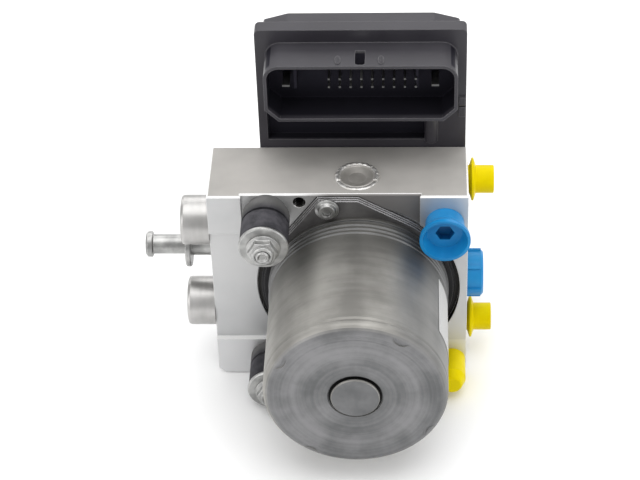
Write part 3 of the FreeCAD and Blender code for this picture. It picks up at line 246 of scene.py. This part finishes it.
# Chamfers along the top, the ledge at the foot and every edge get a painted highlight in bright metal
# colour.
chamfer_highlight = upward.fade(0.55, 0.68) * upward.fade(0.90, 0.80)
ledge_highlight = upward.fade(0.8, 0.95) * place.axis(2).fade(0.025, 0.022)
edge_highlight = place.edge_sheen(rounded)
edge_highlight = edge_highlight.maths("MAXIMUM", edge_highlight, chamfer_highlight + ledge_highlight) * (1.0 - recess_shade)
cutter = place.stretch(60, 700, 700).noise(1.0, 2.0)
place.feed(shader, "Base Color", edge_highlight.tint(base, (0.90, 0.90, 0.89)))
place.feed(shader, "Metallic", 0.75 - sawn * 0.68)
place.feed(shader, "Roughness", 0.44 + cloud * 0.14 + sawn * 0.24 - edge_highlight * 0.12)
place.feed(shader, "Normal", cutter.bump(0.05, 0.0002, rounded))
dress(milled, "valve_block")


# The block's metal is staked over the edge of the upper pump plug: a low uneven collar round the
# plug with the radial marks of the punch.
# Pieces are made by hand in edit mode: faces are picked by place or direction, and a finished piece
# gets its finish and goes with the body it sits on.
def clear():
    bpy.ops.object.select_all(action="DESELECT")


def edit():
    bpy.ops.object.mode_set(mode="EDIT")


def leave():
    bpy.ops.object.mode_set(mode="OBJECT")


def pick(test):
    bpy.ops.mesh.select_all(action="DESELECT")
    mesh = bmesh.from_edit_mesh(bpy.context.object.data)
    for face in mesh.faces:
        if test(face.calc_center_median(), face.normal):
            face.select_set(True)
    bmesh.update_edit_mesh(bpy.context.object.data)


def set_place():
    bpy.ops.object.transform_apply(location=True, rotation=True, scale=True)


def settle(name, material, smooth=35):
    piece = bpy.context.object
    set_place()
    bpy.ops.object.shade_smooth_by_angle(angle=math.radians(smooth))
    piece.name = name
    piece.data.materials.clear()
    piece.data.materials.append(material)
    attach(piece, "module")
    return piece


# The punch leaves a mark two segments wide in every nine.
def under_punch(centre):
    segment = int(math.degrees(math.atan2(centre.y, centre.x)) // 2)
    return segment % 9 < 2


staked, shader, place = finish("staked_aluminium", Metallic=0.85)
cloud = place.noise(500.0, 3.0)
place.feed(shader, "Base Color", cloud.fade(0.35, 0.65).tint((0.50, 0.485, 0.46), (0.84, 0.83, 0.81)))
place.feed(shader, "Roughness", 0.34 + cloud * 0.15)
clear()
bpy.ops.mesh.primitive_torus_add(major_segments=180, minor_segments=16,
                                 major_radius=0.0076, minor_radius=0.0010)
edit()
pick(lambda centre, normal: under_punch(centre) and centre.z > 0.0001 and centre.y > -0.002)
bpy.ops.transform.resize(value=(0.97, 0.97, 0.75))
pick(lambda centre, normal: centre.z > 0.0003)
bpy.ops.transform.vertex_random(offset=0.00008, seed=5)
pick(lambda centre, normal: centre.y < -0.003)
bpy.ops.transform.resize(value=(1.0, 1.0, 0.45))
leave()
collar = bpy.context.object
collar.scale = (1.0, 1.0, 1.1)
collar.location = (motor_x, -0.0036, 0.0906)
settle("plug_staking", staked, smooth=40)

# The accumulator caps are drawn from bright steel, and the shaft, pistons, sleeves, races, balls and
# valve bodies are ground from it: fine rings from the tool, nearly a mirror.
bright, shader, place = finish("bright_steel", Metallic=0.95)
ring = place.stretch(500, 70, 70).noise(1.0, 2.0)
cloud = place.noise(70.0, 3.0)
tone = ring * 0.25 + cloud * 0.75
place.feed(shader, "Base Color", tone.clouded((0.39, 0.385, 0.376), (0.54, 0.53, 0.52)))
place.feed(shader, "Roughness", 0.32 + cloud * 0.12)
place.feed(shader, "Normal", ring.bump(0.05, 0.0001, place.edge(0.0004)))
dress(bright, "shaft", "eccentric_ring", "bearing_outer_race", "bearing_inner_race", "bearing_balls",
      "pump_sleeves", "inlet_valve_bodies", "outlet_valve_bodies")
for end in ("upper", "lower"):
    dress(bright, "pump_piston_" + end, "pump_spring_" + end,
          "accumulator_cap_" + end, "accumulator_piston_" + end)
for number in (1, 2, 3, 4):
    dress(bright, "inlet_armature_%d" % number, "outlet_armature_%d" % number)


# The accumulator springs are coiled from round steel wire, with the end turns closed flat. Each one
# stands between its cap and its piston.
# A wound piece starts as the wire's section and is swept round and up, turn by turn.
def modify(kind, **values):
    modifier = bpy.context.object.modifiers.new(kind.lower(), kind)
    for key, value in values.items():
        setattr(modifier, key, value)
    bpy.ops.object.modifier_apply(modifier=modifier.name)


quarter = math.radians(90)


def wind(corners, wire, radius, pitch, turns, steps, tilt=0.0):
    clear()
    bpy.ops.mesh.primitive_circle_add(vertices=corners, radius=wire, fill_type="NOTHING",
                                      location=(radius, 0, 0), rotation=(quarter, tilt, 0))
    set_place()
    modify("SCREW", angle=math.radians(360), screw_offset=pitch, iterations=turns,
           steps=steps, render_steps=steps)
    return bpy.context.object


def join(piece, *others):
    clear()
    for other in (piece, *others):
        other.select_set(True)
    bpy.context.view_layer.objects.active = piece
    bpy.ops.object.join()


def copy_by(shift):
    bpy.ops.object.duplicate()
    bpy.ops.transform.translate(value=shift)
    return bpy.context.object


spring_radius, spring_wire = 0.0056, 0.0007
spring_pitch, spring_turns = 0.0050, 5
spring_y, upper_z, lower_z = -0.0050, 0.0708, 0.0293
coil = wind(12, spring_wire, spring_radius, spring_pitch, spring_turns, 40)
bpy.ops.mesh.primitive_torus_add(major_segments=40, minor_segments=12,
                                 major_radius=spring_radius, minor_radius=spring_wire)
closed_turn = bpy.context.object
other_turn = copy_by((0, 0, spring_pitch * spring_turns))
join(coil, closed_turn, other_turn)
coil.rotation_euler = (0, quarter, 0)
coil.location = (-0.0591, spring_y, upper_z)
upper = settle("spring_upper", bright)
copy_by((0, 0, lower_z - upper_z))
lower = settle("spring_lower", bright)
for coil, name, height in ((upper, "upper", upper_z), (lower, "lower", lower_z)):
    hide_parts("accumulator_spring_" + name)
    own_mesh(coil)

# The two plugs that close the pump bores are turned from softer steel and come out duller and warmer,
# with a painted highlight round the rim.
plug, shader, place = finish("plug_steel", Metallic=0.55)
cloud = place.noise(150.0, 4.0)
rounded = place.edge(0.0006)
base = cloud.clouded((0.36, 0.345, 0.32), (0.48, 0.46, 0.435))
place.feed(shader, "Base Color", place.edge_sheen(rounded).tint(base, (0.86, 0.84, 0.81)))
place.feed(shader, "Roughness", 0.38 + cloud * 0.14)
place.feed(shader, "Normal", cloud.bump(0.12, 0.0002, rounded))
dress(plug, "pump_plug_top", "pump_plug_bottom")

# The motor can is deep drawn from zinc-plated sheet. Its wall has faint draw lines round it, its end
# face rings from the die and a groove round the boss painted black as painted shade, and the plating is
# clouded.
zinc, shader, place = finish("zinc_plated_can", Metallic=0.9)
across = place.axis(0) - motor_x
height = place.axis(2) - motor_z
radius = place.reach(motor_x, motor_z)
patch = place.noise(55.0, 5.0, 0.6)
drawn = place.stretch(20, 260, 20).noise(1.0, 4.0, 0.6)
band = height.maths("ARCTAN2", height, across).streaks(2.2, 1.0)
wall = band * 0.35 + patch * 0.4 + drawn * 0.25
wall = wall.fade(0.36, 0.64).tint((0.225, 0.219, 0.205), (0.37, 0.361, 0.338))
# The wall is painted darker towards the flange, painted shade beside the block, and its right flank
# gets a painted shade with a painted blue reflection.
flange_shade = place.axis(1).fade(-0.052, -0.022) * 0.55
wall = flange_shade.tint(wall, (0.095, 0.096, 0.090))
shaded_right_flank = across.fade(0.010, 0.024) * 0.4
wall = shaded_right_flank.tint(wall, (0.125, 0.135, 0.15))
# Rings cover the end face outside the boss, and a painted reflection makes them brightest halfway out.
outside_boss = radius.fade(0.0095, 0.0110)
rings = radius.streaks(900.0, 2.0) * 0.12 + radius.streaks(330.0, 1.0) * 0.16
rings = rings * outside_boss + (1.0 - outside_boss) * 0.14
reflection_ring = radius.fade(0.0170, 0.0230) * radius.fade(0.0290, 0.0240) * 0.10
face = (rings + reflection_ring + patch * 0.72).fade(0.31, 0.72)
face = face.tint((0.126, 0.129, 0.131), (0.264, 0.263, 0.268))
end = (0.0 - place.facing().axis(1)).fade(0.6, 0.95)
base = end.tint(wall, face)
# The groove round the boss is painted black: painted shade.
groove_shade = radius.fade(0.00895, 0.0091) * radius.fade(0.0102, 0.0099)
groove_shade = groove_shade * place.axis(1).fade(-0.0785, -0.0781)
place.feed(shader, "Base Color", groove_shade.tint(base, (0.008, 0.008, 0.008)))
place.feed(shader, "Roughness", 0.46 + patch * 0.14 - end * 0.04)
place.feed(shader, "Normal", (patch + drawn * 0.2).bump(0.10, 0.0003, place.edge(0.0005)))
dress(zinc, "motor_can")


# A white paper sticker is wrapped round the right flank of the can. It is blank, and its edge
# stands a paper's thickness off the steel.
def on_flank(centre):
    angle = math.degrees(math.atan2(centre.z - motor_z, centre.x - motor_x))
    return -62 < angle < 27


sticker_radius, sticker_length, sticker_y = 0.03468, 0.030, -0.0435
paper_thickness = 0.00012
paper, shader, place = finish("sticker_paper", Specular_IOR_Level=0.4)
fibre = place.noise(2200.0, 4.0)
place.feed(shader, "Base Color", fibre.clouded((0.45, 0.45, 0.445), (0.51, 0.51, 0.505)))
place.feed(shader, "Roughness", 0.5 + fibre * 0.15)
clear()
bpy.ops.mesh.primitive_cylinder_add(vertices=180, radius=sticker_radius, depth=sticker_length,
                                    end_fill_type="NOTHING", rotation=(quarter, 0, 0),
                                    location=(motor_x, sticker_y, motor_z))
set_place()
edit()
pick(lambda centre, normal: not on_flank(centre))
bpy.ops.mesh.delete(type="FACE")
leave()
modify("SOLIDIFY", thickness=paper_thickness, offset=1.0)
settle("motor_sticker", paper)

# The flange plate is stamped and phosphated steel, much darker than the can, and painted nearly black
# low in its pocket as painted shade; a painted highlight runs along its sheared edge.
phosphate, shader, place = finish("phosphated_flange", Metallic=0.75)
cloud = place.noise(60.0, 5.0, 0.6)
rounded = place.edge(0.0006)
lit_ear = place.axis(2).fade(0.056, 0.082)
low = cloud.clouded((0.012, 0.012, 0.013), (0.030, 0.030, 0.032))
high = cloud.clouded((0.095, 0.092, 0.092), (0.185, 0.18, 0.178))
edge_highlight = place.edge_sheen(rounded) * (lit_ear * 0.9 + 0.06)
place.feed(shader, "Base Color", edge_highlight.tint(lit_ear.tint(low, high), (0.74, 0.73, 0.74)))
place.feed(shader, "Roughness", 0.42 + cloud * 0.2)
place.feed(shader, "Normal", cloud.bump(0.12, 0.0002, rounded))
dress(phosphate, "motor_flange")

# Nuts, washers, studs, screws and the mounting pin are zinc plated: greyer than the turned steel,
# with dull speckled plating in the corners and a painted highlight along every edge.
plated, shader, place = finish("plated_hardware", Metallic=0.9)
cloud = place.noise(160.0, 4.0)
rounded = place.edge(0.0003)
base = cloud.clouded((0.27, 0.27, 0.265), (0.49, 0.49, 0.48))
place.feed(shader, "Base Color", place.edge_sheen(rounded).tint(base, (0.74, 0.74, 0.73)))
place.feed(shader, "Roughness", 0.28 + cloud * 0.2)
place.feed(shader, "Normal", cloud.bump(0.12, 0.0001, rounded))
dress(plated, "mounting_pin", "isolator_washers", "isolator_nuts", "isolator_studs",
      "motor_screws", "ecu_screws")

# Each isolator stud is M6: a plain core with a rolled thread, chamfered at the tip and with a
# shallow dimple in its end. The thread shows in front of the nut.
stud_x, stud_top_z, stud_low_z = -0.0273, 0.0826, 0.0096
m6_pitch, thread_turns, thread_steps = 0.001, 8, 28
clear()
bpy.ops.mesh.primitive_cylinder_add(vertices=36, radius=0.00262, depth=0.0376,
                                    location=(stud_x, -0.0243, stud_top_z), rotation=(quarter, 0, 0))
core = bpy.context.object
edit()
pick(lambda centre, normal: normal.z > 0.9)
bpy.ops.mesh.bevel(offset=0.0004, segments=1, affect="EDGES")
pick(lambda centre, normal: normal.z > 0.99)
bpy.ops.mesh.inset(thickness=0.0004)
bpy.ops.mesh.inset(thickness=0.0006)
bpy.ops.transform.translate(value=(0, 0.0006, 0))
leave()
set_place()
thread = wind(3, 0.00045, 0.00272, m6_pitch, thread_turns, thread_steps)
thread.rotation_euler = (quarter, 0, 0)
thread.location = (stud_x, -0.0344, stud_top_z)
set_place()
join(core, thread)
upper = settle("stud_upper", plated)
copy_by((0, 0, stud_low_z - stud_top_z))
lower = settle("stud_lower", plated)
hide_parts("isolator_studs")
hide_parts("isolator_studs")

# The spare hole is tapped M6 through the floor of the recess: the cut thread stands inside it and is
# painted nearly black, painted shade deep in the hole.
shaded_thread, shader, place = finish("tapped_thread", Metallic=0.6)
cloud = place.noise(900.0, 3.0)
place.feed(shader, "Base Color", cloud.tint((0.015, 0.014, 0.013), (0.05, 0.048, 0.045)))
place.feed(shader, "Roughness", 0.35 + cloud * 0.2)
thread = wind(3, 0.00042, 0.00240, m6_pitch, thread_turns, thread_steps, tilt=math.radians(60))
thread.rotation_euler = (quarter, 0, 0)
thread.location = (hole_x, -0.0059, hole_z)
settle("spare_thread", shaded_thread)

# The isolators and seals are black moulded rubber, slightly grey with bloom and lighter grey
# towards the back.
rubber, shader, place = finish("isolator_rubber", Specular_IOR_Level=0.3)
bloom = place.noise(120.0, 5.0, 0.65)
base = bloom.fade(0.35, 0.75).tint((0.018, 0.018, 0.022), (0.075, 0.072, 0.082))
rear_grey = place.axis(1).fade(-0.0245, -0.0190) * (0.35 + bloom * 0.3)
place.feed(shader, "Base Color", rear_grey.tint(base, (0.17, 0.168, 0.16)))
place.feed(shader, "Roughness", 0.62 + bloom * 0.2)
place.feed(shader, "Normal", bloom.bump(0.25, 0.0003))
dress(rubber, "isolator_rubber_upper", "isolator_rubber_lower",
      "accumulator_seal_upper", "accumulator_seal_lower", "ecu_gasket")

# The control unit is moulded in black glass-filled nylon with a fine spark-eroded grain. Edges get a
# grey painted highlight; the inside of the socket and the hollow below it are painted darker as painted
# shade and get no highlight.
nylon, shader, place = finish("black_nylon", Specular_IOR_Level=0.5)
grain = place.noise(2600.0, 2.0)
cloud = place.noise(35.0, 3.0)
rounded = place.edge(0.0006)
# The inside of the socket and the hollow below it are marked for painted shade.
socket = place.between(0, -0.0264, 0.0449) * place.between(2, 0.1146, 0.1384)
socket = socket * place.axis(1).fade(0.0012, 0.0035) * place.axis(1).fade(0.0152, 0.0148)
shaded_hollow = place.between(0, -0.0278, 0.0360) * place.between(2, 0.0938, 0.1143)
shaded_hollow = shaded_hollow * place.axis(1).fade(0.0161, 0.0175) * place.axis(1).fade(0.0215, 0.0210)
shaded_inside = socket.maths("MAXIMUM", socket, shaded_hollow)
base = cloud.clouded((0.022, 0.020, 0.026), (0.033, 0.031, 0.038))
base = shaded_inside.tint(base, (0.019, 0.018, 0.026))
edge_highlight = place.edge_sheen(rounded) * (1.0 - shaded_inside)
dull_top = place.facing().axis(2).fade(0.5, 0.9) * 0.18
place.feed(shader, "Base Color", edge_highlight.tint(base, (0.110, 0.107, 0.114)))
place.feed(shader, "Metallic", shaded_inside * 0.85)
place.feed(shader, "Roughness", 0.34 + cloud * 0.12 + shaded_inside * 0.20 + dull_top)
place.feed(shader, "Normal", grain.bump(0.2, 0.00006, rounded))
dress(nylon, "ecu_housing", "ecu_cover", "brush_holder")

# Two thin oval outlines left by the mould stand on the socket's roof beside the latch window: a rim
# round a floor that lies a little lower.
clear()
bpy.ops.mesh.primitive_cylinder_add(vertices=48, radius=0.0016, depth=0.0004,
                                    location=(0.0008, 0.0042, 0.1394))
mark = bpy.context.object
edit()
pick(lambda centre, normal: normal.z > 0.9)
bpy.ops.mesh.inset(thickness=0.0004)
bpy.ops.transform.translate(value=(0, 0, -0.0002))
leave()
mark.scale = (0.75, 1.7, 1.0)
settle("ejector_mark_left", nylon)
copy_by((0.0162, 0, 0))
settle("ejector_mark_right", nylon)

# The contacts in the socket are stamped from copper sheet and tinned, and the tin has gone dull.
tinned, shader, place = finish("tinned_contacts", Metallic=0.9)
cloud = place.noise(400.0, 3.0)
place.feed(shader, "Base Color", cloud.tint((0.09, 0.09, 0.092), (0.18, 0.177, 0.174)))
place.feed(shader, "Roughness", 0.40 + cloud * 0.15)
dress(tinned, "connector_pins", "power_tabs")

# Three transit plugs keep dirt out of the ports. They are moulded in soft yellow polyethylene and
# pushed in by hand.
yellow, shader, place = finish("yellow_polyethylene", Specular_IOR_Level=0.12,
                               Specular_Tint=(1.0, 0.88, 0.2), Subsurface_Weight=0.06,
                               Subsurface_Radius=(0.004, 0.003, 0.001))
cloud = place.noise(60.0, 3.0)
place.feed(shader, "Base Color", cloud.clouded((0.66, 0.52, 0.001), (0.76, 0.62, 0.002)))
place.feed(shader, "Roughness", 0.34 + cloud * 0.14)
place.feed(shader, "Normal", cloud.bump(0.08, 0.0002, place.edge(0.0003)))
dress(yellow, "side_plug_top", "side_plug_low", "front_plug")

# The ribbed cap and the open cup are moulded in blue polyethylene and pushed into their ports. The
# six-sided drive in the cup's floor lies in the shade.
cup_x, cup_z = 0.0410, 0.0776
blue, shader, place = finish("blue_polyethylene", Specular_IOR_Level=0.3, Subsurface_Weight=0.06,
                             Subsurface_Radius=(0.001, 0.002, 0.004))
cloud = place.noise(70.0, 3.0)
drive = place.reach(cup_x, cup_z).fade(0.0041, 0.0037) * place.axis(1).fade(-0.0219, -0.0212) * 0.8
base = cloud.clouded((0.005, 0.19, 0.46), (0.010, 0.25, 0.56))
place.feed(shader, "Base Color", drive.tint(base, (0.002, 0.06, 0.20)))
place.feed(shader, "Roughness", 0.32 + cloud * 0.14)
place.feed(shader, "Normal", cloud.bump(0.08, 0.0002, place.edge(0.0003)))
dress(blue, "ribbed_cap", "cup_cap")

# The armature is a stack of thin electrical-steel sheets, two to the millimetre, pressed on the
# shaft: blue-grey with a line at every sheet.
sheets, shader, place = finish("armature_sheets", Metallic=0.85)
stack = (place.axis(1) * 2000.0).maths("FRACT").fade(0.1, 0.9)
place.feed(shader, "Base Color", stack.tint((0.10, 0.105, 0.115), (0.25, 0.26, 0.28)))
place.feed(shader, "Roughness", 0.4 + stack * 0.2)
dress(sheets, "armature_core")

# The windings and the valve coils are copper wire under clear red enamel, and the commutator's bars
# are bare copper.
copper, shader, place = finish("enamelled_copper", Metallic=0.8)
wire = place.stretch(900, 60, 900).noise(1.0, 2.0)
place.feed(shader, "Base Color", wire.tint((0.36, 0.12, 0.05), (0.62, 0.26, 0.12)))
place.feed(shader, "Roughness", 0.3 + wire * 0.2)
dress(copper, "windings", "commutator", "solenoid_coils")

# Magnets and brushes are pressed powders, dark and matt with a fine speckle. The magnets are bonded
# inside the can, and the brushes sit in the box guides of their holder.
ferrite, shader, place = finish("ferrite", Specular_IOR_Level=0.4)
speck = place.noise(300.0, 4.0)
place.feed(shader, "Base Color", speck.tint((0.02, 0.02, 0.022), (0.06, 0.06, 0.062)))
place.feed(shader, "Roughness", 0.6 + speck * 0.2)
dress(ferrite, "magnets", "brushes")

# The end bush is sintered bronze, open-pored and soaked in oil. It carries the shaft at the closed end
# of the can.
bronze, shader, place = finish("sintered_bronze", Metallic=0.8)
pore = place.noise(900.0, 3.0)
place.feed(shader, "Base Color", pore.tint((0.30, 0.19, 0.08), (0.46, 0.32, 0.16)))
place.feed(shader, "Roughness", 0.45 + pore * 0.2)
dress(bronze, "end_bush")

# The circuit board is glass laminate under green solder mask. It lies between the valve coils and the
# lid of the control unit.
board, shader, place = finish("solder_mask", Specular_IOR_Level=0.5)
weave = place.noise(700.0, 2.0)
place.feed(shader, "Base Color", weave.tint((0.006, 0.055, 0.022), (0.012, 0.085, 0.035)))
place.feed(shader, "Roughness", 0.3 + weave * 0.1)
dress(board, "circuit_board")
